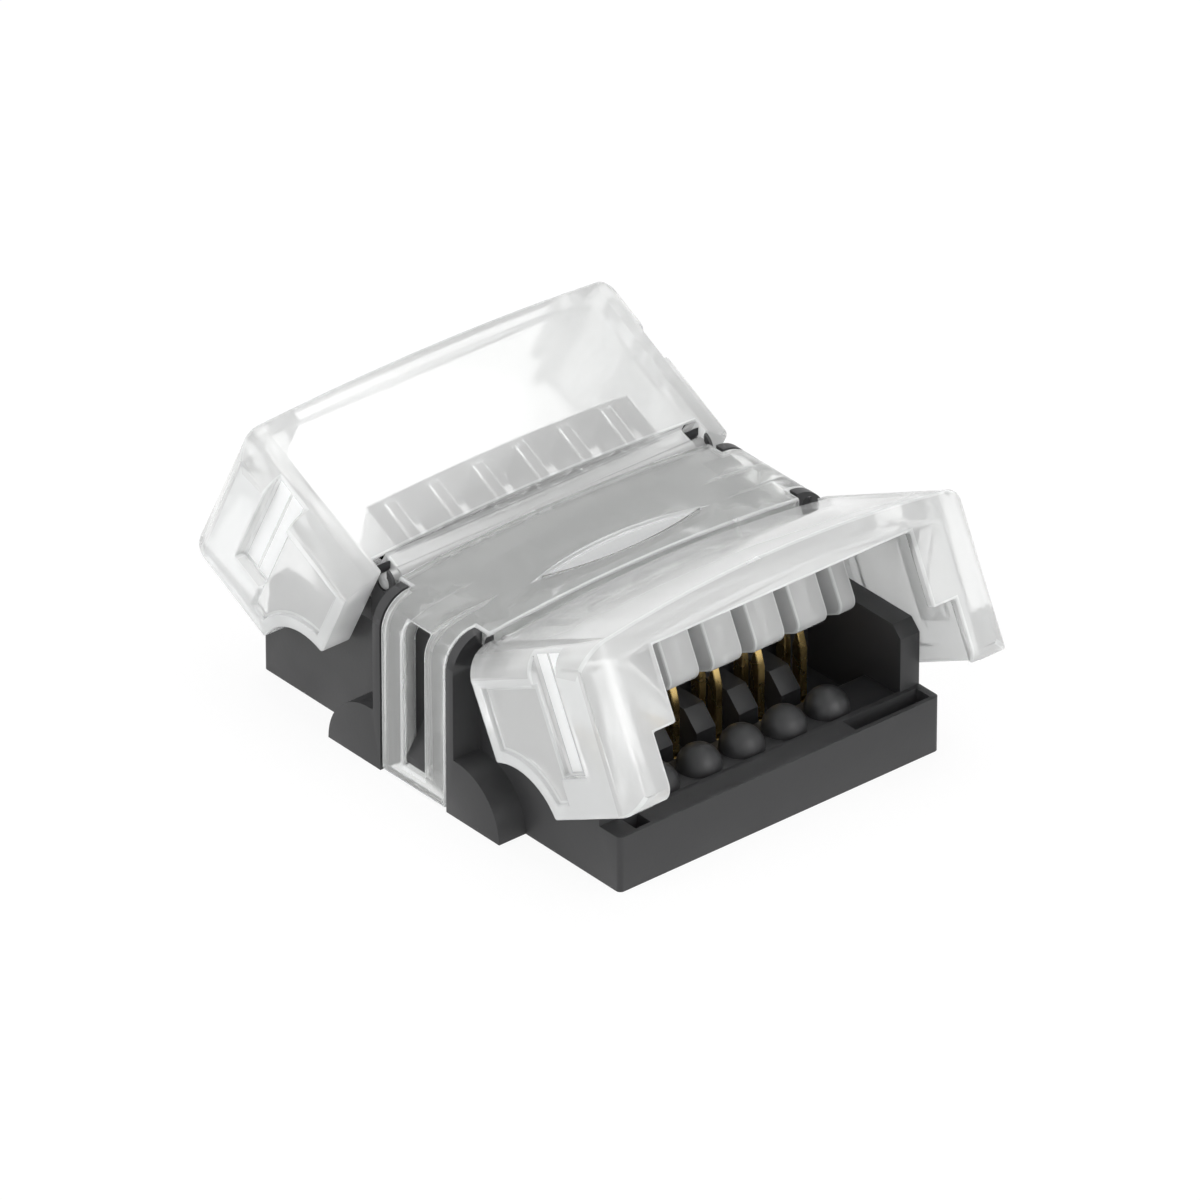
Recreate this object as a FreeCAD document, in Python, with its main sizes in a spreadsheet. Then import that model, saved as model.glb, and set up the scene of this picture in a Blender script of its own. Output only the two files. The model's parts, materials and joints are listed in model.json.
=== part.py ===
"""LED strip connector: black base, clear saddle, two hinged clear covers and six twin-prong contacts."""
import FreeCAD
import Part
import Sketcher
import math
import os

Vector = FreeCAD.Vector
Turn = FreeCAD.Rotation
doc = FreeCAD.newDocument("strip_connector")
sheet = doc.addObject("Spreadsheet::Sheet", "Sizes")


class Size:
    """A length in millimetres that keeps the sheet expression it comes from."""

    def __init__(self, value, text):
        self.value = value
        self.text = text

    def __add__(self, other):
        other = as_size(other)
        return Size(self.value + other.value, "(%s + %s)" % (self.text, other.text))

    def __sub__(self, other):
        other = as_size(other)
        return Size(self.value - other.value, "(%s - %s)" % (self.text, other.text))

    def __mul__(self, other):
        other = as_size(other)
        return Size(self.value * other.value, "(%s * %s)" % (self.text, other.text))

    def __truediv__(self, other):
        other = as_size(other)
        return Size(self.value / other.value, "(%s / %s)" % (self.text, other.text))

    def __neg__(self):
        return Size(-self.value, "(0 - %s)" % self.text)


def as_size(number):
    return number if isinstance(number, Size) else Size(float(number), "%.6f" % number)


def root(size):
    return Size(math.sqrt(size.value), "sqrt(%s)" % size.text)


row = 0


def size(word, value):
    """Writes one driving dimension to the sheet and returns it."""
    global row
    row += 1
    sheet.set("A%d" % row, word)
    sheet.set("B%d" % row, "%g" % value)
    sheet.setAlias("B%d" % row, word)
    return Size(float(value), "Sizes." + word)


# The strip: six conductors
conductors = 6
pitch = size("pitch", 2.0)
strip_half = size("strip_half", 6.0)

# Base
base_half = size("base_half", 10.0)
base_side = size("base_side", 7.5)
corner_round = size("corner_round", 0.2)
floor_thick = size("floor_thick", 1.0)
lip_wide = size("lip_wide", 1.2)
lip_top = size("lip_top", 2.27)
wall_thick = size("wall_thick", 0.9)
wall_reach = size("wall_reach", 8.87)
wall_top = size("wall_top", 4.9)
wall_chamfer = size("wall_chamfer", 0.45)
block_half = size("block_half", 3.8)
pocket_deep = size("pocket_deep", 0.7)
pocket_long = size("pocket_long", 0.75)
post_wide = size("post_wide", 0.4)
foot_radius = size("foot_radius", 2.35)
foot_offset = size("foot_offset", 0.2)
tooth_half = size("tooth_half", 0.5)
tooth_low = size("tooth_low", 0.95)
tooth_high = size("tooth_high", 2.9)
tooth_proud = size("tooth_proud", 1.1)
tooth_face = size("tooth_face", 0.3)
bump_x = size("bump_x", 7.85)
bump_radius = size("bump_radius", 0.85)
bump_top = size("bump_top", 3.0)
divider_wide = size("divider_wide", 0.9)
divider_top = size("divider_top", 2.6)
divider_reach = size("divider_reach", 5.9)
divider_slope = size("divider_slope", 0.7)
bury = size("bury", 0.3)

# Saddle
crown_top = size("crown_top", 7.6)
crown_drop = size("crown_drop", 0.4)
strap_corner = size("strap_corner", 1.35)
saddle_half = size("saddle_half", 2.55)
saddle_thick = size("saddle_thick", 0.7)
strap_half = size("strap_half", 1.8)
strap_low = size("strap_low", 0.1)
window_half = size("window_half", 0.6)
window_top = size("window_top", 6.7)
window_gap = size("window_gap", 0.2)
lens_x = size("lens_x", 1.15)
lens_half = size("lens_half", 3.8)
lens_wide = size("lens_wide", 1.0)
lens_deep = size("lens_deep", 0.12)
fit_gap = size("fit_gap", 0.05)

# Hinge
hinge_x = size("hinge_x", 3.15)
hinge_z = size("hinge_z", 6.8)
open_angle = size("open_angle", 26.6)
barrel_radius = size("barrel_radius", 0.42)
pin_radius = size("pin_radius", 0.3)
pin_long = size("pin_long", 0.55)
snap_wide = size("snap_wide", 0.46)
ear_radius = size("ear_radius", 0.62)

# Cover, measured from its hinge axis as it lies closed
plate_start = size("plate_start", 0.75)
plate_top = size("plate_top", 0.96)
plate_thick = size("plate_thick", 0.9)
cover_end = size("cover_end", 7.5)
cover_corner = size("cover_corner", 1.0)
cover_drop = size("cover_drop", 0.5)
shoulder = size("shoulder", 1.2)
leg_out = size("leg_out", 8.95)
leg_proud = size("leg_proud", 0.22)
leg_gap = size("leg_gap", 0.1)
leg_start = size("leg_start", 0.13)
leg_drop = size("leg_drop", 5.89)
leg_round = size("leg_round", 0.7)
scoop_low = size("scoop_low", 6.22)
scoop_radius = size("scoop_radius", 2.55)
front_thick = size("front_thick", 0.45)
mouth_top = size("mouth_top", 0.44)
mouth_step = size("mouth_step", 3.34)
mouth_low_half = size("mouth_low_half", 7.04)
press_long = size("press_long", 2.2)
press_drop = size("press_drop", 3.24)
press_round = size("press_round", 0.5)
slot_wide = size("slot_wide", 0.58)
slot_top = size("slot_top", 0.55)
channel_start = size("channel_start", 3.75)
channel_long = size("channel_long", 1.55)
channel_low = size("channel_low", 4.35)
channel_deep = size("channel_deep", 0.55)
panel_rim = size("panel_rim", 0.5)
panel_top = size("panel_top", 0.9)
panel_low = size("panel_low", 5.3)
panel_deep = size("panel_deep", 0.2)
web_lap = size("web_lap", 0.1)
web_low = size("web_low", 0.1)
web_top = size("web_top", 0.38)

# Contacts
metal = size("metal", 0.3)
contact_half = size("contact_half", 5.6)
rail_low = size("rail_low", 0.3)
rail_tall = size("rail_tall", 0.6)
prong_inset = size("prong_inset", 0.4)
prong_apart = size("prong_apart", 0.9)
prong_half = size("prong_half", 0.26)
prong_tip = size("prong_tip", 3.9)
prong_point = size("prong_point", 0.8)
slit_gap = size("slit_gap", 0.05)

over = 1.0
doc.recompute()


def named(kind, name):
    thing = doc.addObject(kind, name)
    thing.Label = name
    return thing


def place(thing, x=None, y=None, z=None):
    for axis, value in (("x", x), ("y", y), ("z", z)):
        if value is not None:
            thing.setExpression("Placement.Base." + axis, as_size(value).text)
    return thing


def box(name, x, y, z):
    """A block between two places on each axis."""
    thing = named("Part::Box", name)
    for prop, (low, high) in (("Length", x), ("Width", y), ("Height", z)):
        thing.setExpression(prop, (as_size(high) - low).text)
    return place(thing, x[0], y[0], z[0])


def rod_across(name, radius, half, x=0.0, z=0.0, y=0.0):
    """A round bar along Y, centred on y."""
    thing = named("Part::Cylinder", name)
    thing.setExpression("Radius", as_size(radius).text)
    thing.setExpression("Height", (as_size(half) * 2).text)
    thing.Placement = FreeCAD.Placement(Vector(), Turn(Vector(1, 0, 0), 90))
    return place(thing, x, as_size(y) + half, z)


def fuse(name, *shapes):
    thing = named("Part::MultiFuse", name)
    thing.Shapes = list(shapes)
    thing.Refine = True
    return thing


def common(name, *shapes):
    thing = named("Part::MultiCommon", name)
    thing.Shapes = list(shapes)
    return thing


def cut(name, base, tool):
    thing = named("Part::Cut", name)
    thing.Base = base
    thing.Tool = tool
    thing.Refine = True
    return thing


def mirrored(name, source, normal):
    thing = named("Part::Mirroring", name)
    thing.Source = source
    thing.Normal = normal
    return thing


def mirrored_pair(name, source, normal):
    """A solid and its mirror image, as one tool."""
    return fuse(name, source, mirrored(name + "_other", source, normal))


ALONG = Vector(1, 0, 0)
ACROSS = Vector(0, 1, 0)


class Bend:
    """An arc of an outline, by its centre and radius, left-hand turning unless clockwise.

    A sprung arc takes only its radius from here and hangs between its two corners.
    """

    def __init__(self, across, up, radius, clockwise=False, sprung=False):
        self.across = as_size(across)
        self.up = as_size(up)
        self.radius = as_size(radius)
        self.clockwise = clockwise
        self.sprung = sprung


def lock(sketch, geometry, point, across, up, word):
    """Ties one point of a sketch to the sheet, in either or both directions."""
    for kind, value, tail in (("DistanceX", across, "_a"), ("DistanceY", up, "_b")):
        if value is None:
            continue
        index = sketch.addConstraint(Sketcher.Constraint(kind, -1, 1, geometry, point, value.value))
        sketch.renameConstraint(index, word + tail)
        sketch.setExpression("Constraints." + word + tail, value.text)


def draw(sketch, path):
    """Draws a closed outline. path holds corners (across, up), with a Bend between two of them."""
    corners = [(as_size(p[0]), as_size(p[1])) for p in path if not isinstance(p, Bend)]
    bends = []
    for spot, item in enumerate(path):
        if not isinstance(item, Bend):
            follows = path[(spot + 1) % len(path)]
            bends.append(follows if isinstance(follows, Bend) else None)
    count = len(corners)
    for index, bend in enumerate(bends):
        first = Vector(corners[index][0].value, corners[index][1].value, 0)
        last_corner = corners[(index + 1) % count]
        last = Vector(last_corner[0].value, last_corner[1].value, 0)
        if bend is None:
            sketch.addGeometry(Part.LineSegment(first, last))
            continue
        centre = Vector(bend.across.value, bend.up.value, 0)
        circle = Part.Circle(centre, Vector(0, 0, 1), bend.radius.value)
        ends = [first, last] if not bend.clockwise else [last, first]
        angles = [math.atan2(end.y - centre.y, end.x - centre.x) for end in ends]
        if angles[1] < angles[0]:
            angles[1] += 2 * math.pi
        sketch.addGeometry(Part.ArcOfCircle(circle, angles[0], angles[1]))
        if not bend.sprung:
            lock(sketch, index, 3, bend.across, bend.up, "centre%d" % index)
        radius = sketch.addConstraint(Sketcher.Constraint("Radius", index, bend.radius.value))
        sketch.renameConstraint(radius, "radius%d" % index)
        sketch.setExpression("Constraints.radius%d" % index, bend.radius.text)
    for index, bend in enumerate(bends):
        after = (index + 1) % count
        end = 1 if bend is not None and bend.clockwise else 2
        start = 2 if bends[after] is not None and bends[after].clockwise else 1
        sketch.addConstraint(Sketcher.Constraint("Coincident", index, end, after, start))
        beside = [item for item in (bend, bends[after]) if item is not None and not item.sprung]
        across, up = corners[after]
        if beside:
            beside = beside[0]
            if abs(across.value - beside.across.value) > abs(up.value - beside.up.value):
                across = None
            else:
                up = None
        lock(sketch, after, start, across, up, "corner%d" % after)


def prism(name, plane, path, low, high):
    """An outline on a main plane, padded from low to high along that plane's own axis."""
    body = named("PartDesign::Body", name)
    sketch = body.newObject("Sketcher::SketchObject", name + "_outline")
    origin_plane = [item for item in body.Origin.OriginFeatures if item.Role == plane + "_Plane"][0]
    sketch.AttachmentSupport = [(origin_plane, "")]
    sketch.MapMode = "FlatFace"
    draw(sketch, path)
    pad = body.newObject("PartDesign::Pad", name + "_pad")
    pad.Profile = sketch
    pad.Midplane = True
    low = as_size(low)
    pad.setExpression("Length", (as_size(high) - low).text)
    middle = (low + high) / 2
    axis = {"XY": "z", "XZ": "y", "YZ": "x"}[plane]
    return place(body, **{axis: middle})


def crown_radius(half, drop):
    return (half * half + drop * drop) / (drop * 2)


def arch(top, drop, half, corner, low):
    """A crowned arch section in YZ: a shallow top arc, rounded shoulders and straight legs down to low."""
    radius = crown_radius(half, drop)
    edge = top - drop
    side = half + corner
    return [(side, low), (side, edge - corner), Bend(half, edge - corner, corner), (half, edge),
            Bend(0.0, top - radius, radius, sprung=True), (-half, edge),
            Bend(-half, edge - corner, corner), (-side, edge - corner), (-side, low)]


def rounded_plan(name, half_x, half_y, corner, low, high):
    """A plate in plan with rounded corners."""
    x, y, r = half_x, half_y, corner
    path = [(x, -y + r), (x, y - r), Bend(x - r, y - r, r), (x - r, y), (-x + r, y),
            Bend(-x + r, y - r, r), (-x, y - r), (-x, -y + r), Bend(-x + r, -y + r, r),
            (-x + r, -y), (x - r, -y), Bend(x - r, -y + r, r)]
    return prism(name, "XY", path, low, high)


def pin_places():
    middle = (conductors - 1) / 2
    return [pitch * (number - middle) for number in range(conductors)]


def gap_places():
    middle = (conductors - 2) / 2
    return [pitch * (number - middle) for number in range(conductors - 1)]


side_out = leg_out - leg_proud
crown_half = side_out - strap_corner
saddle_under = crown_top - saddle_thick
channel_half = base_side - wall_thick
prong_outer = contact_half - prong_inset
prong_inner = prong_outer - prong_apart
strap_clear = strap_half + fit_gap
post_out = strap_clear + post_wide


def make_base():
    """The black moulding: floor, end lips, side walls, centre block, flanks, bumps and dividers."""
    floor = rounded_plan("floor", base_half, base_side, corner_round, 0.0, floor_thick)
    rim = rounded_plan("lip_ring", base_half, base_side, corner_round, 0.0, lip_top)
    lip_inner = base_half - lip_wide
    rim = cut("lips", rim, box("lip_hollow", (-lip_inner, lip_inner), (-base_side - over, base_side + over),
                               (floor_thick / 2, lip_top + over)))
    wall_path = [(-wall_reach, floor_thick / 2), (wall_reach, floor_thick / 2),
                 (wall_reach, wall_top - wall_chamfer), (wall_reach - wall_chamfer, wall_top),
                 (-wall_reach + wall_chamfer, wall_top), (-wall_reach, wall_top - wall_chamfer)]
    wall = prism("side_wall", "XZ", wall_path, channel_half, base_side)
    walls = mirrored_pair("side_walls", wall, ACROSS)
    pocket_end = base_half - corner_round
    pocket = box("lip_pocket", (pocket_end - pocket_long, pocket_end),
                 (channel_half - pocket_deep, channel_half), (lip_top - pocket_deep, lip_top + over))
    pockets = mirrored_pair("lip_pockets", mirrored_pair("lip_pocket_pair", pocket, ACROSS), ALONG)

    block_section = arch(saddle_under - fit_gap, crown_drop, base_side - wall_thick, wall_thick,
                         floor_thick / 2)
    block = prism("centre_block", "YZ", block_section, -block_half, block_half)

    flank_section = arch(crown_top, crown_drop, crown_half, strap_corner, 0.0)
    flank = prism("flank_section", "YZ", flank_section, -post_out, post_out)
    foot_x = post_out + foot_offset
    foot = rod_across("foot_round", foot_radius, side_out, foot_x)
    feet = mirrored_pair("feet_round", foot, ALONG)
    feet = common("feet", feet, box("above_floor", (-base_half, base_half), (-side_out, side_out),
                                    (0.0, foot_radius + over)))
    heel = box("heel", (-foot_x, foot_x), (-side_out, side_out), (0.0, foot_radius))
    flanks = fuse("flanks_full", flank, feet, heel)
    inside = box("flank_inside", (-base_half, base_half), (-base_side + wall_thick, base_side - wall_thick),
                 (-over, crown_top + over))
    flanks = cut("flanks", flanks, inside)

    bumps = []
    ball_z = bump_top - bump_radius
    for number, y in enumerate(gap_places(), 1):
        stem = named("Part::Cylinder", "bump_stem_%d" % number)
        stem.setExpression("Radius", bump_radius.text)
        stem.setExpression("Height", (ball_z - floor_thick / 2).text)
        place(stem, bump_x, y, floor_thick / 2)
        ball = named("Part::Sphere", "bump_ball_%d" % number)
        ball.setExpression("Radius", bump_radius.text)
        place(ball, bump_x, y, ball_z)
        bumps += [stem, ball]
    divider_path = [(block_half - bury, floor_thick / 2), (divider_reach, floor_thick / 2),
                    (divider_reach, divider_top - divider_slope),
                    (divider_reach - divider_slope, divider_top), (block_half - bury, divider_top)]
    dividers = []
    for number, y in enumerate(gap_places(), 1):
        dividers.append(prism("divider_%d" % number, "XZ", divider_path, y - divider_wide / 2,
                              y + divider_wide / 2))
    details = mirrored_pair("channel_details", fuse("channel_details_front", *(bumps + dividers)), ALONG)

    ear = rod_across("ear", ear_radius, base_side, hinge_x, hinge_z)
    ear_cheek = box("ear_cheek", (hinge_x - ear_radius, block_half), (-base_side, base_side),
                    (wall_top - over, hinge_z))
    ear_round = fuse("ear_pair", ear, ear_cheek)
    ear_gap = box("ear_gap", (0.0, block_half + over), (-base_side + pin_long, base_side - pin_long),
                  (0.0, crown_top + over))
    ears = mirrored_pair("ears", cut("ear_ends", ear_round, ear_gap), ALONG)

    body = fuse("base_solid", floor, rim, walls, block, flanks, details, ears)
    seat_radius = barrel_radius + fit_gap
    inner_half = base_side - pin_long
    seat = rod_across("barrel_seat", seat_radius, inner_half, hinge_x, hinge_z)
    seat_step = box("seat_step", (hinge_x, block_half + over), (-inner_half, inner_half),
                    (hinge_z - seat_radius, crown_top + over))
    seat_side = box("seat_side", (saddle_half + fit_gap, hinge_x), (-inner_half, inner_half),
                    (hinge_z, crown_top + over))
    bearing = rod_across("pin_bearing", pin_radius + fit_gap, base_side + over, hinge_x, hinge_z)
    snap = box("snap_entry", (hinge_x - snap_wide / 2, hinge_x + snap_wide / 2),
               (-base_side - over, base_side + over), (hinge_z, hinge_z + ear_radius + over))
    hinge_cuts = mirrored_pair("hinge_cuts", fuse("hinge_cut", seat, seat_step, seat_side, bearing, snap), ALONG)

    inside_y = base_side + over
    strap_way = box("strap_way", (-strap_clear, strap_clear), (base_side, side_out + over),
                    (-over, crown_top + over))
    strap_top = box("strap_top", (-strap_clear, strap_clear), (crown_half - over, inside_y),
                    (saddle_under - crown_drop - strap_corner + saddle_thick - fit_gap, crown_top + over))
    lid_way = box("lid_way", (-post_out - over, post_out + over), (-crown_half, crown_half),
                  (saddle_under - crown_drop - fit_gap, crown_top + over))
    strap_tools = mirrored_pair("strap_tools", fuse("strap_tool", strap_way, strap_top), ACROSS)
    lid_keep = cut("lid_room", lid_way, block)

    slit_half = metal / 2 + slit_gap
    slits = []
    for number, y in enumerate(pin_places(), 1):
        rail_end = contact_half + slit_gap
        rail_top = rail_low + rail_tall + slit_gap
        slits.append(box("rail_slit_%d" % number, (-rail_end, rail_end), (y - slit_half, y + slit_half),
                         (-over, rail_top)))
        prong_start = prong_inner - prong_half - slit_gap
        for side, (start, end) in (("front", (prong_start, rail_end)), ("rear", (-rail_end, -prong_start))):
            slits.append(box("prong_slit_%s_%d" % (side, number), (start, end),
                             (y - slit_half, y + slit_half), (-over, prong_tip + over)))
    tools = fuse("base_tools", pockets, hinge_cuts, strap_tools, lid_keep, *slits)
    carved = cut("base_carved", body, tools)

    tooth_path = [(base_side - bury, tooth_low), (base_side + tooth_proud, tooth_low),
                  (base_side + tooth_proud, tooth_low + tooth_face), (base_side, tooth_high),
                  (base_side - bury, tooth_high)]
    tooth = prism("catch_tooth", "YZ", tooth_path, -tooth_half, tooth_half)
    return fuse("base", carved, mirrored_pair("catch_teeth", tooth, ACROSS))


def make_saddle():
    """The clear centre clip: a crowned lid with a windowed strap down each side."""
    outer = prism("saddle_outer", "YZ", arch(crown_top, crown_drop, crown_half, strap_corner, strap_low),
                  -strap_half, strap_half)
    lid = prism("saddle_lid", "YZ", arch(crown_top, crown_drop, crown_half, strap_corner, strap_low),
                -saddle_half, saddle_half)
    lid = common("saddle_lid_middle", lid, box("lid_span", (-saddle_half, saddle_half),
                                               (-crown_half + fit_gap * 2, crown_half - fit_gap * 2),
                                               (0.0, crown_top + over)))
    under = prism("saddle_under", "YZ", arch(saddle_under, crown_drop, crown_half, strap_corner - saddle_thick,
                                             -over), -saddle_half - over, saddle_half + over)
    window = box("strap_window", (-window_half, window_half), (-side_out - over, side_out + over),
                 (tooth_low - window_gap, window_top))
    lens_radius = crown_radius(lens_half, lens_wide / 2)
    lens_centre = lens_radius - lens_wide / 2
    lens_path = [(lens_x, -lens_half), Bend(lens_x - lens_centre, 0.0, lens_radius, sprung=True),
                 (lens_x, lens_half), Bend(lens_x + lens_centre, 0.0, lens_radius, sprung=True)]
    lens = prism("lens_recess", "XY", lens_path, crown_top - lens_deep, crown_top + over)
    seats = mirrored_pair("barrel_clearance", rod_across("barrel_clear", barrel_radius + fit_gap, side_out,
                                                         hinge_x, hinge_z), ALONG)
    return cut("saddle", fuse("saddle_solid", outer, lid), fuse("saddle_tools", under, window, lens, seats))


def make_front_cover():
    """One clear flap: crowned plate, skirts, front wall with its mouth, slotted press block and hinge barrel."""
    inner_side = base_side + leg_gap
    plate_half = leg_out - shoulder
    section = arch(plate_top, cover_drop, plate_half, shoulder, -leg_drop - over)
    skin = prism("cover_skin", "YZ", section, leg_start - over, cover_end + over)
    scoop_end = root(scoop_radius * scoop_radius - (scoop_low - leg_drop) * (scoop_low - leg_drop))
    side_path = [(leg_start, plate_top + over), (leg_start, scoop_radius - scoop_low),
                 Bend(leg_start, -scoop_low, scoop_radius, True), (leg_start + scoop_end, -leg_drop),
                 (cover_end - leg_round, -leg_drop), Bend(cover_end - leg_round, leg_round - leg_drop, leg_round),
                 (cover_end, leg_round - leg_drop), (cover_end, plate_top + over)]
    side = prism("cover_side", "XZ", side_path, -leg_out - over, leg_out + over)
    corner_x = cover_end - cover_corner
    corner_y = leg_out - cover_corner
    plan_path = [(leg_start - over, -leg_out), (corner_x, -leg_out), Bend(corner_x, -corner_y, cover_corner),
                 (cover_end, -corner_y), (cover_end, corner_y), Bend(corner_x, corner_y, cover_corner),
                 (corner_x, leg_out), (leg_start - over, leg_out)]
    plan = prism("cover_plan", "XY", plan_path, -leg_drop - over, plate_top + over)
    shell = common("cover_shell", skin, side, plan)

    hollow_corner = shoulder - plate_thick
    hollow_section = arch(plate_top - plate_thick, cover_drop, inner_side - hollow_corner, hollow_corner,
                          -leg_drop - over * 2)
    hollow = prism("cover_hollow", "YZ", hollow_section, leg_start - over, cover_end - front_thick)
    mouth = box("mouth", (cover_end - front_thick - over, cover_end + over), (-strip_half, strip_half),
                (-mouth_step - over, -mouth_top))
    mouth_low = box("mouth_low", (cover_end - front_thick - over, cover_end + over),
                    (-mouth_low_half, mouth_low_half), (-leg_drop - over, -mouth_step))
    rear = box("plate_rear", (-over, plate_start), (-inner_side, inner_side), (-leg_drop - over, plate_top + over))
    channel = box("leg_channel", (channel_start, channel_start + channel_long),
                  (leg_out - channel_deep, leg_out + over), (-channel_low, plate_top + over))
    panel_radius = scoop_radius + panel_rim
    panel_x = leg_start + root(panel_radius * panel_radius - (scoop_low - panel_low) * (scoop_low - panel_low))
    panel_z = root(panel_radius * panel_radius - panel_rim * panel_rim) - scoop_low
    panel_path = [(leg_start + panel_rim, -panel_top), (leg_start + panel_rim, panel_z),
                  Bend(leg_start, -scoop_low, panel_radius, True), (panel_x, -panel_low),
                  (channel_start, -panel_low), (channel_start, -panel_top)]
    panel = prism("leg_panel", "XZ", panel_path, leg_out - panel_deep, leg_out + over)
    relief = mirrored_pair("leg_reliefs", fuse("leg_relief", channel, panel), ACROSS)
    shell = cut("cover_open", shell, fuse("cover_tools", hollow, mouth, mouth_low, rear, relief))

    press_end = plate_start + press_long
    press_top = plate_top - cover_drop
    press_path = [(plate_start, press_top - plate_thick / 4), (plate_start, press_round - press_drop),
                  Bend(plate_start + press_round, press_round - press_drop, press_round),
                  (plate_start + press_round, -press_drop), (press_end - press_round, -press_drop),
                  Bend(press_end - press_round, press_round - press_drop, press_round),
                  (press_end, press_round - press_drop), (press_end, press_top - plate_thick / 4)]
    press = prism("press_block", "XZ", press_path, -strip_half - fit_gap, strip_half + fit_gap)
    slots = []
    for number, y in enumerate(pin_places(), 1):
        slots.append(box("press_slot_%d" % number, (plate_start - over, press_end + over),
                         (y - slot_wide / 2, y + slot_wide / 2), (-press_drop - over, -slot_top)))
    press = cut("press_ribs", press, fuse("press_slots", *slots))

    barrel_half = base_side - pin_long - fit_gap
    barrel = rod_across("hinge_barrel", barrel_radius, barrel_half)
    pins = rod_across("hinge_pins", pin_radius, base_side - fit_gap)
    web = box("hinge_web", (0.0, plate_start + web_lap), (-barrel_half, barrel_half),
              (-web_low, web_top))
    cover = fuse("front_cover", shell, press, barrel, pins, web)
    cover.Placement = FreeCAD.Placement(Vector(), Turn(Vector(0, 1, 0), -1))
    cover.setExpression("Placement.Rotation.Angle", open_angle.text)
    cover.Placement.Rotation.Axis = Vector(0, -1, 0)
    return place(cover, hinge_x, 0.0, hinge_z)


def make_contact(number, y):
    """A stamped contact: a rail under the floor with two pointed prongs at each end."""
    top = rail_low + rail_tall
    path = [(-contact_half, rail_low), (contact_half, rail_low), (contact_half, top)]
    for centre in (prong_outer, prong_inner, -prong_inner, -prong_outer):
        shoulder_z = prong_tip - prong_point
        path += [(centre + prong_half, top), (centre + prong_half, shoulder_z), (centre, prong_tip),
                 (centre - prong_half, shoulder_z), (centre - prong_half, top)]
    path += [(-contact_half, top)]
    return prism("contact_%d" % number, "XZ", path, y - metal / 2, y + metal / 2)


pieces = [make_base(), make_saddle()]
front_cover = make_front_cover()
pieces.append(front_cover)
pieces.append(mirrored("rear_cover", front_cover, ALONG))
for number, y in enumerate(pin_places(), 1):
    pieces.append(make_contact(number, y))
doc.recompute()

for item in doc.Objects:
    for word in ("Invalid", "Error"):
        if word in item.State:
            raise RuntimeError("%s is %s" % (item.Label, word))
for piece in pieces:
    shape = piece.Shape
    if shape.isNull() or not shape.isValid() or len(shape.Solids) != 1:
        raise RuntimeError("%s is not one valid solid: %d" % (piece.Label, len(shape.Solids)))

os.makedirs("parts", exist_ok=True)
for piece in pieces:
    piece.Shape.exportStep("parts/%s.step" % piece.Label)
    b = piece.Shape.BoundBox
    print("%-12s %9.3f mm3  x %.2f %.2f  y %.2f %.2f  z %.2f %.2f" % (
        piece.Label, piece.Shape.Volume, b.XMin, b.XMax, b.YMin, b.YMax, b.ZMin, b.ZMax))
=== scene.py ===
"""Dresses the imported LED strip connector: black base, clear saddle and covers, gold contacts, and stage."""
import json
import math

import bmesh
import bpy
from bpy.props import FloatProperty, FloatVectorProperty, IntProperty, PointerProperty
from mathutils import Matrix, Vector


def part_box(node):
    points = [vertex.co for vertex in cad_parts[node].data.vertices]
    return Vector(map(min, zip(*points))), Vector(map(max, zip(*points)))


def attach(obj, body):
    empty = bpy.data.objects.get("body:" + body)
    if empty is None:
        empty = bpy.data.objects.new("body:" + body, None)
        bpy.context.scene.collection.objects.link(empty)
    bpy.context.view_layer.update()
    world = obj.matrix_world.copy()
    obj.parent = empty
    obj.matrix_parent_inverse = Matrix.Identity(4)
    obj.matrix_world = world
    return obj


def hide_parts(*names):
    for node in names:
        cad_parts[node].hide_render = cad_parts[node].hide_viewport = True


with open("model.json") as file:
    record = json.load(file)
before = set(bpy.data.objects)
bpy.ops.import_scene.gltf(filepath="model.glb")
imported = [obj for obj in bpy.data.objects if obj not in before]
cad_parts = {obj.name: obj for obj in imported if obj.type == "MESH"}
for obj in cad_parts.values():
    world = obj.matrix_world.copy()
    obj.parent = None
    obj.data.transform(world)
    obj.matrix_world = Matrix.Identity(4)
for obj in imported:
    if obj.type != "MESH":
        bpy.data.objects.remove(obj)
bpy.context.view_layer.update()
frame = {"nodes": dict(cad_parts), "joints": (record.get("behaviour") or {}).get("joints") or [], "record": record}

bl_info = {
    "name": "LED Strip Connector Looks",
    "version": (1, 0, 0),
    "blender": (4, 5, 0),
    "location": "3D View > Sidebar > Strip Connector",
    "description": "Finishes the pieces of a clip-on LED strip connector and sets its studio stage",
    "category": "Object",
}

MM = 0.001
CONTACTS = sorted(name for name in frame["nodes"] if name.startswith("contact_"))

# Each cover's hinge and side, and the angle by which a cover stands open at rest
HINGES = {joint["name"].split("_")[0]: Vector(joint["pos_m"]) for joint in frame["joints"]}
SIDES = {"front": 1, "rear": -1}
OPEN_ANGLE = math.radians(frame["joints"][0]["range_deg"][1])

# Hinge: the reach round its axis that stays crisp, which is wider beyond the barrel's end
HINGE_REACH = 0.6 * MM
HINGE_END = 7.3 * MM
HINGE_END_REACH = 1.15 * MM

# Base: the end lips with their corner pockets, and the channel that the ledges fill from wall to wall
LIP_WIDE = 1.2 * MM
LIP_LAND = 0.2 * MM
POCKET_SLACK = (0.1 * MM, 0.05 * MM)
POCKET_HEIGHTS = (1.2 * MM, 2.4 * MM)
POCKET_SIDES = (5.7 * MM, 6.7 * MM)
POCKET_MIDDLE = 6.2 * MM
POCKET_END = 7.2 * MM
LEDGE_START = 6.95 * MM
LEDGE_GAP = 0.001 * MM
CHANNEL_HALF = 6.59 * MM
BASE_FLOOR = 1.0 * MM

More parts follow.
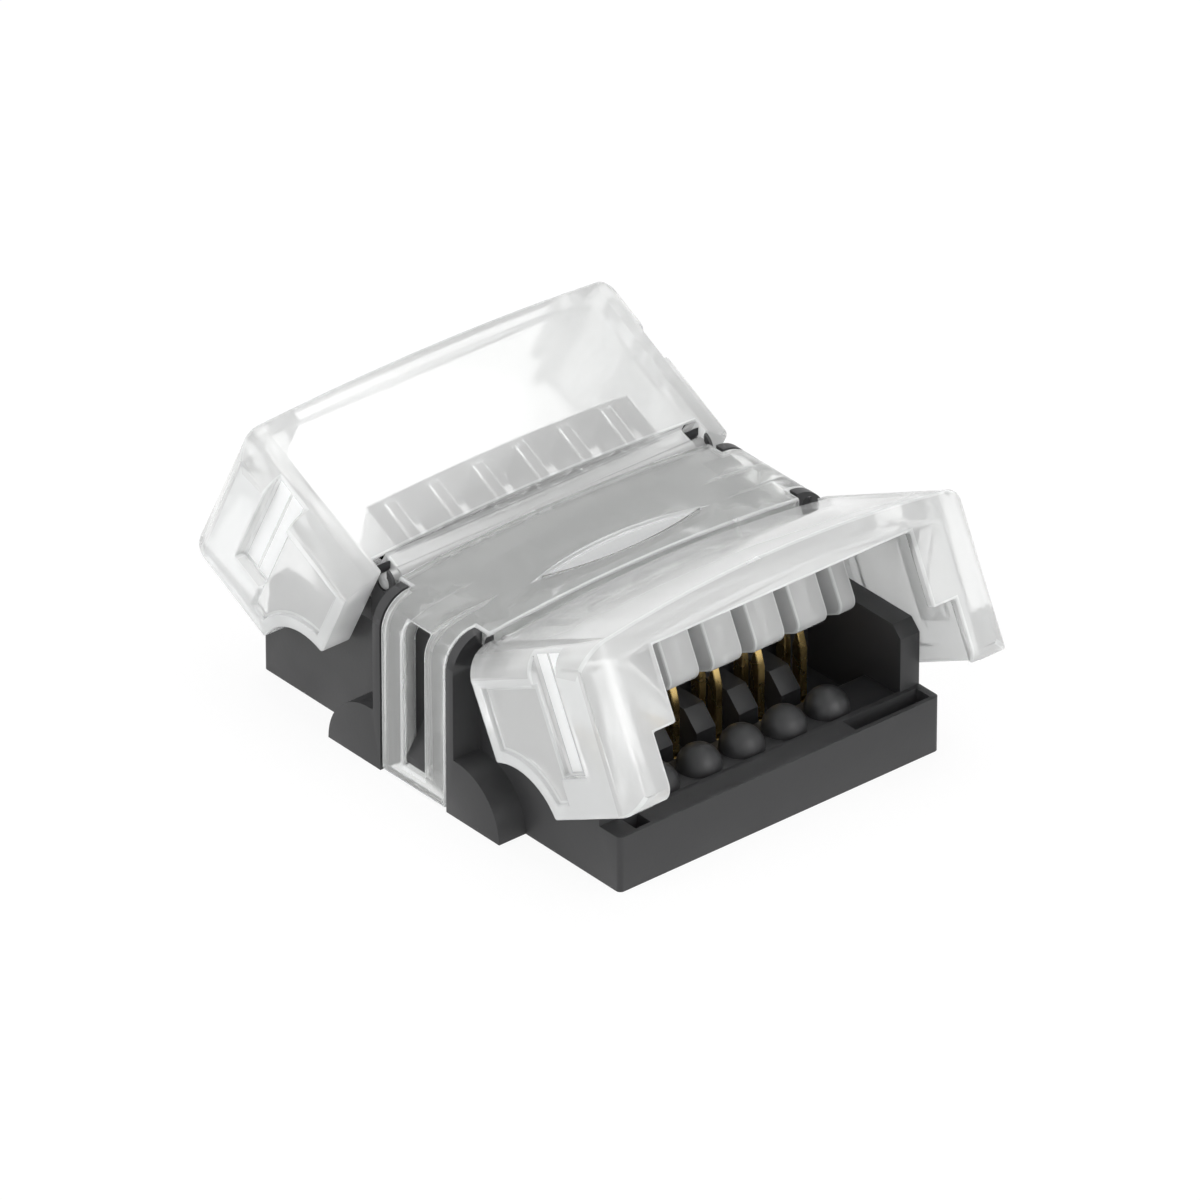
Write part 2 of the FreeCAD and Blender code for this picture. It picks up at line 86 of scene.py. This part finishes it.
# Covers, open, measured from the hinge: where the legs' channel lies along the plate and how far out its
# floor is, the press block's end and half width, and the depths at which the block and its slots begin
LEG_CHANNEL = (3.75 * MM, 5.3 * MM)
LEG_CHANNEL_FLOOR = 8.4 * MM
PRESS_END = 3.6 * MM
PRESS_HALF = 5.9 * MM
PRESS_TOP = 0.5 * MM
SLOT_TOP = 2.0 * MM

# Saddle: the depths below its top between which the lens floor lies, and how far the lens reaches
LENS_DEPTHS = (0.08 * MM, 0.25 * MM)
LENS_HALF = 4.0 * MM

# Mesh work: points closer than WELD are one, a cut goes through points closer than CUT, and places within
# NEAR are the same. Flatter joins than FLAT are removed, sharper ones than SHARP are rounded, and shading
# breaks at CREASE.
WELD = 0.0005 * MM
CUT = 0.0001 * MM
NEAR = 0.01 * MM
FLAT = math.radians(0.5)
SHARP = math.radians(28)
CREASE = math.radians(32)

# How squarely a face looks along an axis to count as facing it, and as level
FACING = 0.9
LEVEL = 0.999

# Places of the finishes in the clear pieces' material slots: the frosted and rim finishes are painted highlights,
# the slot and rib ones painted shade
FROSTED_HIGHLIGHT = 1
RIM_HIGHLIGHT = 2
SLOT_SHADE = 3
RIB_SHADE = 4

# Gloss from polished to dull patches, and clearness, of each clear finish
FINISHES = {
    "clear_saddle": (0.08, 0.2, 0.82),
    # Painted highlight: a paler, less clear lens floor
    "frosted_lens_highlight": (0.3, 0.4, 0.62),
    # Painted highlight: paler, less clear rims
    "saddle_rim_highlight": (0.2, 0.3, 0.6),
    "clear_cover": (0.08, 0.2, 0.64),
    # Painted highlight: paler, less clear bands in the legs' channels
    "frosted_band_highlight": (0.3, 0.45, 0.25),
    # Painted highlight: paler, less clear rims
    "cover_rim_highlight": (0.15, 0.28, 0.55),
    # Painted shade: the rear block's slots, near-black and barely clear
    "slot_painted_shade": (0.3, 0.4, 0.1),
    # Painted shade: the rear block's ribs, greyed
    "rib_painted_shade": (0.2, 0.3, 0.62),
}

# Skins: the part of the flow noise that shifts the gloss, how far each colour shifts with it, and the grain's
# depth
FLOW_SPAN = (0.3, 0.7)
BLACK_SHIFT = 1.35
CLEAR_SHIFT = 1.04
GOLD_SHIFT = 0.8
GRAIN_DEPTH = 0.01 * MM
PLATING_DEPTH = 0.004 * MM

# Stage: the floor's half width, tint and glow, the height that the camera looks at and how far above it the
# picture's middle lies, what the lamps look at, and each lamp's place and width
FLOOR_HALF = 0.6
FLOOR_TINT = (0.9, 0.9, 0.9, 1.0)
FLOOR_GLOW = 0.9
WHITE = (1.0, 1.0, 1.0, 1.0)
CAMERA_AIM = 3.5 * MM
CAMERA_RISE = 0.924 * MM
LAMP_AIM = (0.0, 0.0, 4.0 * MM)
LAMPS = {
    "key": ((-0.05, -0.3, 0.22), 0.2),
    "fill": ((0.3, 0.05, 0.16), 0.2),
    "overhead": ((0.0, 0.08, 0.35), 0.3),
}


# Settings


class PlasticSettings(bpy.types.PropertyGroup):
    """Colours, edges and small forms of the moulded pieces."""
    black: FloatVectorProperty(
        name="Black", description="Colour of the base moulding", subtype="COLOR",
        default=(0.021, 0.021, 0.022), min=0.0, max=1.0)
    clear: FloatVectorProperty(
        name="Clear", description="Tint of the clear covers", subtype="COLOR",
        default=(0.9, 0.905, 0.9), min=0.0, max=1.0)
    saddle: FloatVectorProperty(
        name="Saddle", description="Tint of the clear centre clip", subtype="COLOR",
        default=(0.85, 0.86, 0.85), min=0.0, max=1.0)
    # Painted highlight: this pale, less clear finish paints the highlights on the lens, the leg bands and the rims
    frosted: FloatVectorProperty(
        name="Frosted", description="Tint of the frosted bands and lens", subtype="COLOR",
        default=(0.9, 0.91, 0.91), min=0.0, max=1.0)
    # Painted shade: the rear press block's slots are painted near-black for the dark base seen through them
    shaded: FloatVectorProperty(
        name="Shaded", description="Tint of the rear press block's slots, which show the base through them",
        subtype="COLOR", default=(0.07, 0.07, 0.07), min=0.0, max=1.0)
    # Painted shade: the rear press block's ribs are painted grey for the dark base seen through them
    ribs: FloatVectorProperty(
        name="Ribs", description="Tint of the rear press block's ribs", subtype="COLOR",
        default=(0.66, 0.66, 0.66), min=0.0, max=1.0)
    segments: IntProperty(
        name="Segments", description="Segments on each rounded edge", default=2, min=1, max=4)
    base_edge: FloatProperty(
        name="Base Edge", description="Radius of the base's moulded edges", subtype="DISTANCE",
        default=0.07 * MM, min=0.0)
    clear_edge: FloatProperty(
        name="Clear Edge", description="Radius of the clear pieces' moulded edges", subtype="DISTANCE",
        default=0.1 * MM, min=0.0)
    ledge_top: FloatProperty(
        name="Ledge Top", description="Height of the ledge that the base's bumps stand on",
        subtype="DISTANCE", default=2.1 * MM, min=0.0)
    pocket_start: FloatProperty(
        name="Pocket Start", description="Where the corner pockets in the lips begin, from the middle",
        subtype="DISTANCE", default=3.7 * MM, min=0.0)
    slit: FloatProperty(
        name="Slit", description="Clear slit between the two frosted bands of a leg", subtype="DISTANCE",
        default=0.13 * MM, min=0.0)
    grain: FloatProperty(
        name="Grain", description="Size of the black moulding's grain", subtype="DISTANCE",
        default=0.12 * MM, min=0.01 * MM)


class ContactSettings(bpy.types.PropertyGroup):
    """Plating of the stamped contacts."""
    plating: FloatVectorProperty(
        name="Plating", description="Colour of the gold plating", subtype="COLOR",
        default=(0.83, 0.60, 0.24), min=0.0, max=1.0)
    edge: FloatProperty(
        name="Edge", description="Radius of the stamped edges", subtype="DISTANCE",
        default=0.03 * MM, min=0.0)
    segments: IntProperty(
        name="Segments", description="Segments on each stamped edge", default=1, min=1, max=4)


class StageSettings(bpy.types.PropertyGroup):
    """Camera and lamps."""
    azimuth: FloatProperty(
        name="Azimuth", description="Camera direction round the part", subtype="ANGLE",
        default=math.radians(49.92))
    elevation: FloatProperty(
        name="Elevation", description="Camera height angle", subtype="ANGLE",
        default=math.radians(31.3))
    distance: FloatProperty(
        name="Distance", description="From the camera to the part", subtype="DISTANCE",
        default=0.6, min=0.05)
    view_width: FloatProperty(
        name="View Width", description="Width that the picture spans at the part", subtype="DISTANCE",
        default=43.14 * MM, min=1.0 * MM)
    key: FloatProperty(
        name="Key", description="Power of the soft lamp on the left", subtype="POWER",
        default=0.38, min=0.0)
    fill: FloatProperty(
        name="Fill", description="Power of the soft lamp on the right", subtype="POWER",
        default=0.3, min=0.0)
    overhead: FloatProperty(
        name="Overhead", description="Power of the soft lamp above", subtype="POWER",
        default=0.45, min=0.0)
    world: FloatProperty(
        name="World", description="Strength of the pale surroundings as a light", default=0.85, min=0.0)


# Shader node groups

def new_group(name, inputs, outputs):
    """A shader group with named number sockets, the inputs with their defaults, and its two end nodes."""
    group = bpy.data.node_groups.new(name, "ShaderNodeTree")
    for label, default in inputs.items():
        socket = group.interface.new_socket(name=label, in_out="INPUT", socket_type="NodeSocketFloat")
        socket.default_value = default
    for label in outputs:
        group.interface.new_socket(name=label, in_out="OUTPUT", socket_type="NodeSocketFloat")
    return group, group.nodes.new("NodeGroupInput"), group.nodes.new("NodeGroupOutput")


def noise_in_group(group, place, scale, detail):
    """Noise at a place, its scale taken from a socket of the group."""
    node = group.nodes.new("ShaderNodeTexNoise")
    node.inputs["Detail"].default_value = detail
    group.links.new(place, node.inputs["Vector"])
    group.links.new(scale, node.inputs["Scale"])
    return node.outputs["Fac"]


def mapped(tree, value, low, high, to_low, to_high):
    """Maps a value from one span to another, whose ends may be sockets, and returns the socket."""
    node = tree.nodes.new("ShaderNodeMapRange")
    tree.links.new(value, node.inputs["Value"])
    for label, end in (("From Min", low), ("From Max", high), ("To Min", to_low), ("To Max", to_high)):
        if isinstance(end, bpy.types.NodeSocket):
            tree.links.new(end, node.inputs[label])
        else:
            node.inputs[label].default_value = end
    return node.outputs["Result"]


def surface_skin_group():
    """Surface skin: fine grain for height, and a broad flow pattern that shifts gloss and shade."""
    if "surface_skin" in bpy.data.node_groups:
        return bpy.data.node_groups["surface_skin"]
    defaults = {"Grain Scale": 5000.0, "Flow Scale": 300.0, "Gloss Low": 0.3, "Gloss High": 0.45}
    group, entry, leave = new_group("surface_skin", defaults, ("Height", "Roughness", "Flow"))
    place = group.nodes.new("ShaderNodeTexCoord").outputs["Object"]
    grain = noise_in_group(group, place, entry.outputs["Grain Scale"], detail=2.0)
    flow = noise_in_group(group, place, entry.outputs["Flow Scale"], detail=3.0)
    gloss = mapped(group, flow, *FLOW_SPAN, entry.outputs["Gloss Low"], entry.outputs["Gloss High"])
    for value, label in ((grain, "Height"), (gloss, "Roughness"), (flow, "Flow")):
        group.links.new(value, leave.inputs[label])
    return group


def place_skin(tree, grain_scale, flow_scale, gloss_low, gloss_high):
    """The surface skin placed in a material with its own values."""
    node = tree.nodes.new("ShaderNodeGroup")
    node.node_tree = surface_skin_group()
    node.inputs["Grain Scale"].default_value = grain_scale
    node.inputs["Flow Scale"].default_value = flow_scale
    node.inputs["Gloss Low"].default_value = gloss_low
    node.inputs["Gloss High"].default_value = gloss_high
    return node


# Materials

def new_material(name):
    """A new material, its node tree and its Principled shader."""
    material = bpy.data.materials.new(name)
    material.use_nodes = True
    tree = material.node_tree
    return material, tree, tree.nodes["Principled BSDF"]


def mixed_colour(tree, mask, low, high):
    """Mixes two colours by a mask and returns the colour socket."""
    mix = tree.nodes.new("ShaderNodeMix")
    mix.data_type = "RGBA"
    tree.links.new(mask, mix.inputs["Factor"])
    mix.inputs["A"].default_value = (*low, 1.0)
    mix.inputs["B"].default_value = (*high, 1.0)
    return mix.outputs["Result"]


def put_on_skin(tree, shader, skin, low, high, strength, distance):
    """Gives a shader the skin's two shades, its gloss and its grain as a bump."""
    tree.links.new(mixed_colour(tree, skin.outputs["Flow"], low, high), shader.inputs["Base Color"])
    tree.links.new(skin.outputs["Roughness"], shader.inputs["Roughness"])
    node = tree.nodes.new("ShaderNodeBump")
    node.inputs["Strength"].default_value = strength
    node.inputs["Distance"].default_value = distance
    tree.links.new(skin.outputs["Height"], node.inputs["Height"])
    tree.links.new(node.outputs["Normal"], shader.inputs["Normal"])


def black_plastic(plastic):
    """Satin black thermoplastic with a spark-eroded grain."""
    material, tree, shader = new_material("black_plastic")
    fineness = 1.0 / plastic.grain
    skin = place_skin(tree, grain_scale=fineness, flow_scale=350.0, gloss_low=0.38, gloss_high=0.52)
    lighter = [channel * BLACK_SHIFT for channel in plastic.black]
    put_on_skin(tree, shader, skin, plastic.black, lighter, strength=0.25, distance=GRAIN_DEPTH)
    shader.inputs["IOR"].default_value = 1.5
    return material


def clear_plastic(name, tint):
    """Clear moulded plastic of one of the clear finishes, slightly milky, with flow ripples."""
    gloss_low, gloss_high, clearness = FINISHES[name]
    material, tree, shader = new_material(name)
    skin = place_skin(tree, grain_scale=900.0, flow_scale=250.0, gloss_low=gloss_low, gloss_high=gloss_high)
    paler = [min(1.0, channel * CLEAR_SHIFT) for channel in tint]
    put_on_skin(tree, shader, skin, tint, paler, strength=0.05, distance=GRAIN_DEPTH)
    shader.inputs["IOR"].default_value = 1.49
    shader.inputs["Transmission Weight"].default_value = clearness
    return material


def gold_plating(plating):
    """Thin gold plating over a stamped strip."""
    material, tree, shader = new_material("gold_plating")
    skin = place_skin(tree, grain_scale=9000.0, flow_scale=900.0, gloss_low=0.18, gloss_high=0.34)
    darker = [channel * GOLD_SHIFT for channel in plating]
    put_on_skin(tree, shader, skin, darker, plating, strength=0.1, distance=PLATING_DEPTH)
    shader.inputs["Metallic"].default_value = 1.0
    return material


# Meshes

def body_of_node(node):
    """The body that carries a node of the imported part."""
    for body, nodes in frame["record"]["behaviour"]["bodies"].items():
        if node in nodes:
            return body
    raise RuntimeError("no body carries " + node)


def near_hinge(edge):
    """Whether an edge lies on a hinge barrel, a pin or the corner beside it, which stay crisp."""
    middle = (edge.verts[0].co + edge.verts[1].co) / 2
    reach = HINGE_END_REACH if abs(middle.y) > HINGE_END else HINGE_REACH
    return any(math.hypot(middle.x - hinge.x, middle.z - hinge.z) < reach for hinge in HINGES.values())


def softened(node, piece_name, radius, segments, refine=None, rim=-1):
    """A copy of a node's mesh that stands for it, its sharp edges rounded and in the rim's finish, a painted
    highlight, if any.
    """
    work = bmesh.new()
    work.from_mesh(frame["nodes"][node].data)
    bmesh.ops.remove_doubles(work, verts=work.verts, dist=WELD)
    bmesh.ops.dissolve_limit(work, angle_limit=FLAT, verts=work.verts, edges=work.edges)
    if refine is not None:
        refine(work)
    sharp = [edge for edge in work.edges if len(edge.link_faces) == 2
             and edge.calc_face_angle() > SHARP and not near_hinge(edge)]
    # A clear piece keeps its rim's full width, also where a short edge would narrow it
    # The rounded edges take the rim's finish, a painted highlight, where a rim is given
    bmesh.ops.bevel(work, geom=sharp, offset=radius, offset_type="OFFSET", segments=segments, profile=0.5,
                    affect="EDGES", clamp_overlap=rim < 0, material=rim)
    bmesh.ops.triangulate(work, faces=[face for face in work.faces if len(face.verts) > 4])
    mesh = bpy.data.meshes.new(piece_name)
    work.to_mesh(mesh)
    work.free()
    piece = bpy.data.objects.new(piece_name, mesh)
    bpy.context.scene.collection.objects.link(piece)
    mesh.shade_smooth()
    mesh.set_sharp_from_angle(angle=CREASE)
    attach(piece, body_of_node(node))
    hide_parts(node)
    return piece


def finished(piece, slot, *materials):
    """Gives a piece its materials; the record's slot that they stand for is not used."""
    for material in materials:
        piece.data.materials.append(material)


def slab(work, low, high):
    """Adds a closed block between two corners to a mesh under work."""
    made = bmesh.ops.create_cube(work, size=1.0)
    for vert in made["verts"]:
        for axis in range(3):
            vert.co[axis] = high[axis] if vert.co[axis] > 0 else low[axis]


def refine_base(plastic):
    """Raises the ledges under the bumps and lengthens the pockets in two corners of the lips."""
    base_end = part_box("base")[1][0]
    lip_inner = base_end - LIP_WIDE
    pocket_span = (lip_inner + POCKET_SLACK[0], base_end - LIP_LAND + POCKET_SLACK[1])

    def refine(work):
        for vert in work.verts:
            x, y, z = vert.co
            along = pocket_span[0] < abs(x) < pocket_span[1]
            across = POCKET_SIDES[0] < abs(y) < POCKET_SIDES[1] and x * y > 0
            if along and across and POCKET_HEIGHTS[0] < z < POCKET_HEIGHTS[1]:
                reach = plastic.pocket_start if abs(y) < POCKET_MIDDLE else POCKET_END
                vert.co.y = math.copysign(reach, y)
        for side in (1, -1):
            # The ledge is sunk halfway into the floor
            ends = sorted((side * LEDGE_START, side * (lip_inner - LEDGE_GAP)))
            slab(work, (ends[0], -CHANNEL_HALF, BASE_FLOOR / 2), (ends[1], CHANNEL_HALF, plastic.ledge_top))

    return refine


def along_cover(end, point):
    """A point's distances from a cover's hinge, along the plate and up from it, with the cover open."""
    across = SIDES[end] * (point.x - HINGES[end].x)
    rise = point.z - HINGES[end].z
    cosine, sine = math.cos(OPEN_ANGLE), math.sin(OPEN_ANGLE)
    return across * cosine + rise * sine, rise * cosine - across * sine


def refine_cover(end, plastic):
    """Marks painted highlights on two frosted bands round a clear slit in each leg's channel and on the rims, and
    painted shade on the rear block.
    """
    lengthwise = Vector((SIDES[end] * math.cos(OPEN_ANGLE), 0.0, math.sin(OPEN_ANGLE)))
    upward = Vector((-SIDES[end] * math.sin(OPEN_ANGLE), 0.0, math.cos(OPEN_ANGLE)))
    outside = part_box(end + "_cover")[1][1]
    channel_middle = sum(LEG_CHANNEL) / 2

    def floor_faces(work):
        """The faces at the bottom of the legs' channels."""
        found = []
        for face in work.faces:
            middle = face.calc_center_median()
            reach, rise = along_cover(end, middle)
            on_floor = abs(abs(middle.y) - LEG_CHANNEL_FLOOR) < NEAR
            if on_floor and LEG_CHANNEL[0] < reach < LEG_CHANNEL[1] and rise < 0:
                found.append(face)
        return found

    def split_bands(work):
        """Cuts the channel floors on both sides of the slit and frosts the bands beside it, a painted highlight.
        """
        for cut_at in (channel_middle - plastic.slit / 2, channel_middle + plastic.slit / 2):
            faces = floor_faces(work)
            parts = faces + list({edge for face in faces for edge in face.edges})
            parts += list({vert for face in faces for vert in face.verts})
            bmesh.ops.bisect_plane(work, geom=parts, dist=CUT, plane_co=HINGES[end] + lengthwise * cut_at,
                                   plane_no=lengthwise)
        for face in floor_faces(work):
            reach = along_cover(end, face.calc_center_median())[0]
            if abs(reach - channel_middle) > plastic.slit / 2:
                face.material_index = FROSTED_HIGHLIGHT

    def refine(work):
        split_bands(work)
        for face in work.faces:
            middle = face.calc_center_median()
            reach, rise = along_cover(end, middle)
            in_press = 0.0 < reach < PRESS_END and rise < -PRESS_TOP and abs(middle.y) < PRESS_HALF
            # Painted highlight: the legs' outer faces take the rim's finish
            if abs(middle.y) > outside - NEAR:
                face.material_index = RIM_HIGHLIGHT
            elif end == "rear" and in_press:
                # Painted shade: the slots are painted near-black and the ribs grey for the dark base that shows
                # through the rear block
                slot_top = face.normal.dot(upward) < -FACING and rise > -SLOT_TOP
                in_slot = abs(face.normal.y) > FACING or slot_top
                face.material_index = SLOT_SHADE if in_slot else RIB_SHADE

    return refine


def refine_saddle(work):
    """Marks the floor of the lens recess for the frosted finish, a painted highlight."""
    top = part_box("saddle")[1][2]
    for face in work.faces:
        middle = face.calc_center_median()
        in_lens = LENS_DEPTHS[0] < top - middle.z < LENS_DEPTHS[1] and abs(middle.y) < LENS_HALF
        if in_lens and face.normal.z > LEVEL:
            face.material_index = FROSTED_HIGHLIGHT


# Operators

class CONNECTOR_OT_dress_base(bpy.types.Operator):
    """Rounds the base's moulded edges and gives it grained black plastic"""
    bl_idname = "connector.dress_base"
    bl_label = "Dress Base"

    def execute(self, context):
        plastic = context.scene.connector_plastic
        piece = softened("base", "base_moulding", plastic.base_edge, plastic.segments, refine_base(plastic))
        finished(piece, "black_plastic", black_plastic(plastic))
        return {"FINISHED"}


class CONNECTOR_OT_dress_saddle(bpy.types.Operator):
    """Rounds the centre clip's edges and gives it clear plastic, with painted highlights on its rims and lens"""
    bl_idname = "connector.dress_saddle"
    bl_label = "Dress Saddle"

    def execute(self, context):
        plastic = context.scene.connector_plastic
        piece = softened("saddle", "saddle_clip", plastic.clear_edge, plastic.segments, refine_saddle, RIM_HIGHLIGHT)
        finished(piece, "clear_saddle", clear_plastic("clear_saddle", plastic.saddle),
                 clear_plastic("frosted_lens_highlight", plastic.frosted), clear_plastic("saddle_rim_highlight", plastic.frosted))
        return {"FINISHED"}


class CONNECTOR_OT_dress_covers(bpy.types.Operator):
    """Rounds both covers' edges and gives them clear plastic, with painted highlights on rims and leg bands, and
    painted shade in the rear press block
    """
    bl_idname = "connector.dress_covers"
    bl_label = "Dress Covers"

    def execute(self, context):
        plastic = context.scene.connector_plastic
        tints = {"clear_cover": plastic.clear, "frosted_band_highlight": plastic.frosted, "cover_rim_highlight": plastic.frosted,
                 "slot_painted_shade": plastic.shaded, "rib_painted_shade": plastic.ribs}
        materials = [clear_plastic(name, tint) for name, tint in tints.items()]
        for end in SIDES:
            piece = softened(end + "_cover", end + "_cover_flap", plastic.clear_edge, plastic.segments,
                             refine_cover(end, plastic), RIM_HIGHLIGHT)
            finished(piece, "clear_cover", *materials)
        return {"FINISHED"}


class CONNECTOR_OT_dress_contacts(bpy.types.Operator):
    """Rounds the stamped contacts' edges and plates them with gold"""
    bl_idname = "connector.dress_contacts"
    bl_label = "Dress Contacts"

    def execute(self, context):
        contacts = context.scene.connector_contacts
        gold = gold_plating(contacts.plating)
        for node in CONTACTS:
            piece = softened(node, node + "_stamping", contacts.edge, contacts.segments)
            finished(piece, "gold_contact", gold)
        return {"FINISHED"}


# Stage

def add_camera(stage):
    """A long lens at the photograph's angle and framing."""
    right = Vector((math.cos(stage.azimuth), math.sin(stage.azimuth), 0.0))
    away = Vector((math.sin(stage.azimuth), -math.cos(stage.azimuth), 0.0))
    back = away * math.cos(stage.elevation) + Vector((0.0, 0.0, math.sin(stage.elevation)))
    up = back.cross(right)
    aim = Vector((0.0, 0.0, CAMERA_AIM)) + up * CAMERA_RISE
    data = bpy.data.cameras.new("camera")
    data.sensor_width = 36.0
    data.lens = data.sensor_width * stage.distance / stage.view_width
    data.clip_start = 0.01
    data.clip_end = 10.0
    camera = bpy.data.objects.new("camera", data)
    camera.location = aim + back * stage.distance
    camera.rotation_euler = back.to_track_quat("Z", "Y").to_euler()
    bpy.context.scene.collection.objects.link(camera)
    bpy.context.scene.camera = camera


def add_lamp(name, power):
    """A round soft lamp from the list, turned towards the part."""
    place, across = LAMPS[name]
    data = bpy.data.lights.new(name, "AREA")
    data.shape = "DISK"
    data.size = across
    data.energy = power
    lamp = bpy.data.objects.new(name, data)
    lamp.location = place
    lamp.rotation_euler = (Vector(place) - Vector(LAMP_AIM)).to_track_quat("Z", "Y").to_euler()
    bpy.context.scene.collection.objects.link(lamp)


def seen_directly(tree):
    """A mask that is 1 for rays from the camera, a reflection or a clear piece."""
    path = tree.nodes.new("ShaderNodeLightPath")
    total = path.outputs["Is Camera Ray"]
    for label in ("Is Glossy Ray", "Is Transmission Ray"):
        node = tree.nodes.new("ShaderNodeMath")
        node.operation = "MAXIMUM"
        tree.links.new(total, node.inputs[0])
        tree.links.new(path.outputs[label], node.inputs[1])
        total = node.outputs["Value"]
    return total


def light_world(strength):
    """White surroundings to look at, dimmer as a light."""
    world = bpy.data.worlds.new("studio")
    world.use_nodes = True
    tree = world.node_tree
    background = tree.nodes["Background"]
    background.inputs["Color"].default_value = WHITE
    power = mapped(tree, seen_directly(tree), 0.0, 1.0, strength, 1.0)
    tree.links.new(power, background.inputs["Strength"])
    bpy.context.scene.world = world


def floor_material():
    """White floor that keeps a faint shadow."""
    material, tree, shader = new_material("pale_floor")
    shader.inputs["Base Color"].default_value = FLOOR_TINT
    shader.inputs["Roughness"].default_value = 0.9
    shader.inputs["Specular IOR Level"].default_value = 0.0
    glow = tree.nodes.new("ShaderNodeEmission")
    glow.inputs["Strength"].default_value = 1.0
    mix = tree.nodes.new("ShaderNodeMixShader")
    tree.links.new(mapped(tree, seen_directly(tree), 0.0, 1.0, 0.0, FLOOR_GLOW), mix.inputs["Fac"])
    tree.links.new(shader.outputs["BSDF"], mix.inputs[1])
    tree.links.new(glow.outputs["Emission"], mix.inputs[2])
    tree.links.new(mix.outputs["Shader"], tree.nodes["Material Output"].inputs["Surface"])
    return material


class CONNECTOR_OT_set_stage(bpy.types.Operator):
    """Adds the floor, the lamps, the pale surroundings and the camera"""
    bl_idname = "connector.set_stage"
    bl_label = "Set Stage"

    def execute(self, context):
        stage = context.scene.connector_stage
        corners = [(-FLOOR_HALF, -FLOOR_HALF, 0), (FLOOR_HALF, -FLOOR_HALF, 0), (FLOOR_HALF, FLOOR_HALF, 0),
                   (-FLOOR_HALF, FLOOR_HALF, 0)]
        mesh = bpy.data.meshes.new("floor")
        mesh.from_pydata(corners, [], [(0, 1, 2, 3)])
        floor = bpy.data.objects.new("floor", mesh)
        context.scene.collection.objects.link(floor)
        mesh.materials.append(floor_material())
        add_lamp("key", stage.key)
        add_lamp("fill", stage.fill)
        add_lamp("overhead", stage.overhead)
        light_world(stage.world)
        context.scene.view_settings.view_transform = "Standard"
        add_camera(stage)
        return {"FINISHED"}


# Panel and registration

class CONNECTOR_PT_panel(bpy.types.Panel):
    """Lists the connector's finishing steps"""
    bl_idname = "CONNECTOR_PT_panel"
    bl_label = "Strip Connector"
    bl_space_type = "VIEW_3D"
    bl_region_type = "UI"
    bl_category = "Strip Connector"

    def draw(self, context):
        for settings in (context.scene.connector_plastic, context.scene.connector_contacts,
                         context.scene.connector_stage):
            column = self.layout.column()
            for prop in settings.bl_rna.properties:
                if prop.identifier in settings.__annotations__:
                    column.prop(settings, prop.identifier)
        for step in STEPS:
            self.layout.operator(step.bl_idname)


SETTINGS = (("connector_plastic", PlasticSettings), ("connector_contacts", ContactSettings),
            ("connector_stage", StageSettings))
STEPS = (CONNECTOR_OT_dress_base, CONNECTOR_OT_dress_saddle, CONNECTOR_OT_dress_covers,
         CONNECTOR_OT_dress_contacts, CONNECTOR_OT_set_stage)


def register():
    """Registers the settings, the steps and the panel."""
    for name, group in SETTINGS:
        bpy.utils.register_class(group)
        setattr(bpy.types.Scene, name, PointerProperty(type=group))
    for step in STEPS:
        bpy.utils.register_class(step)
    bpy.utils.register_class(CONNECTOR_PT_panel)


def unregister():
    """Takes back what register added."""
    bpy.utils.unregister_class(CONNECTOR_PT_panel)
    for step in reversed(STEPS):
        bpy.utils.unregister_class(step)
    for name, group in reversed(SETTINGS):
        delattr(bpy.types.Scene, name)
        bpy.utils.unregister_class(group)


def main():
    """Registers the add-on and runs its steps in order."""
    register()
    bpy.ops.connector.dress_base()
    bpy.ops.connector.dress_saddle()
    bpy.ops.connector.dress_covers()
    bpy.ops.connector.dress_contacts()
    bpy.ops.connector.set_stage()


if __name__ == "__main__":
    main()
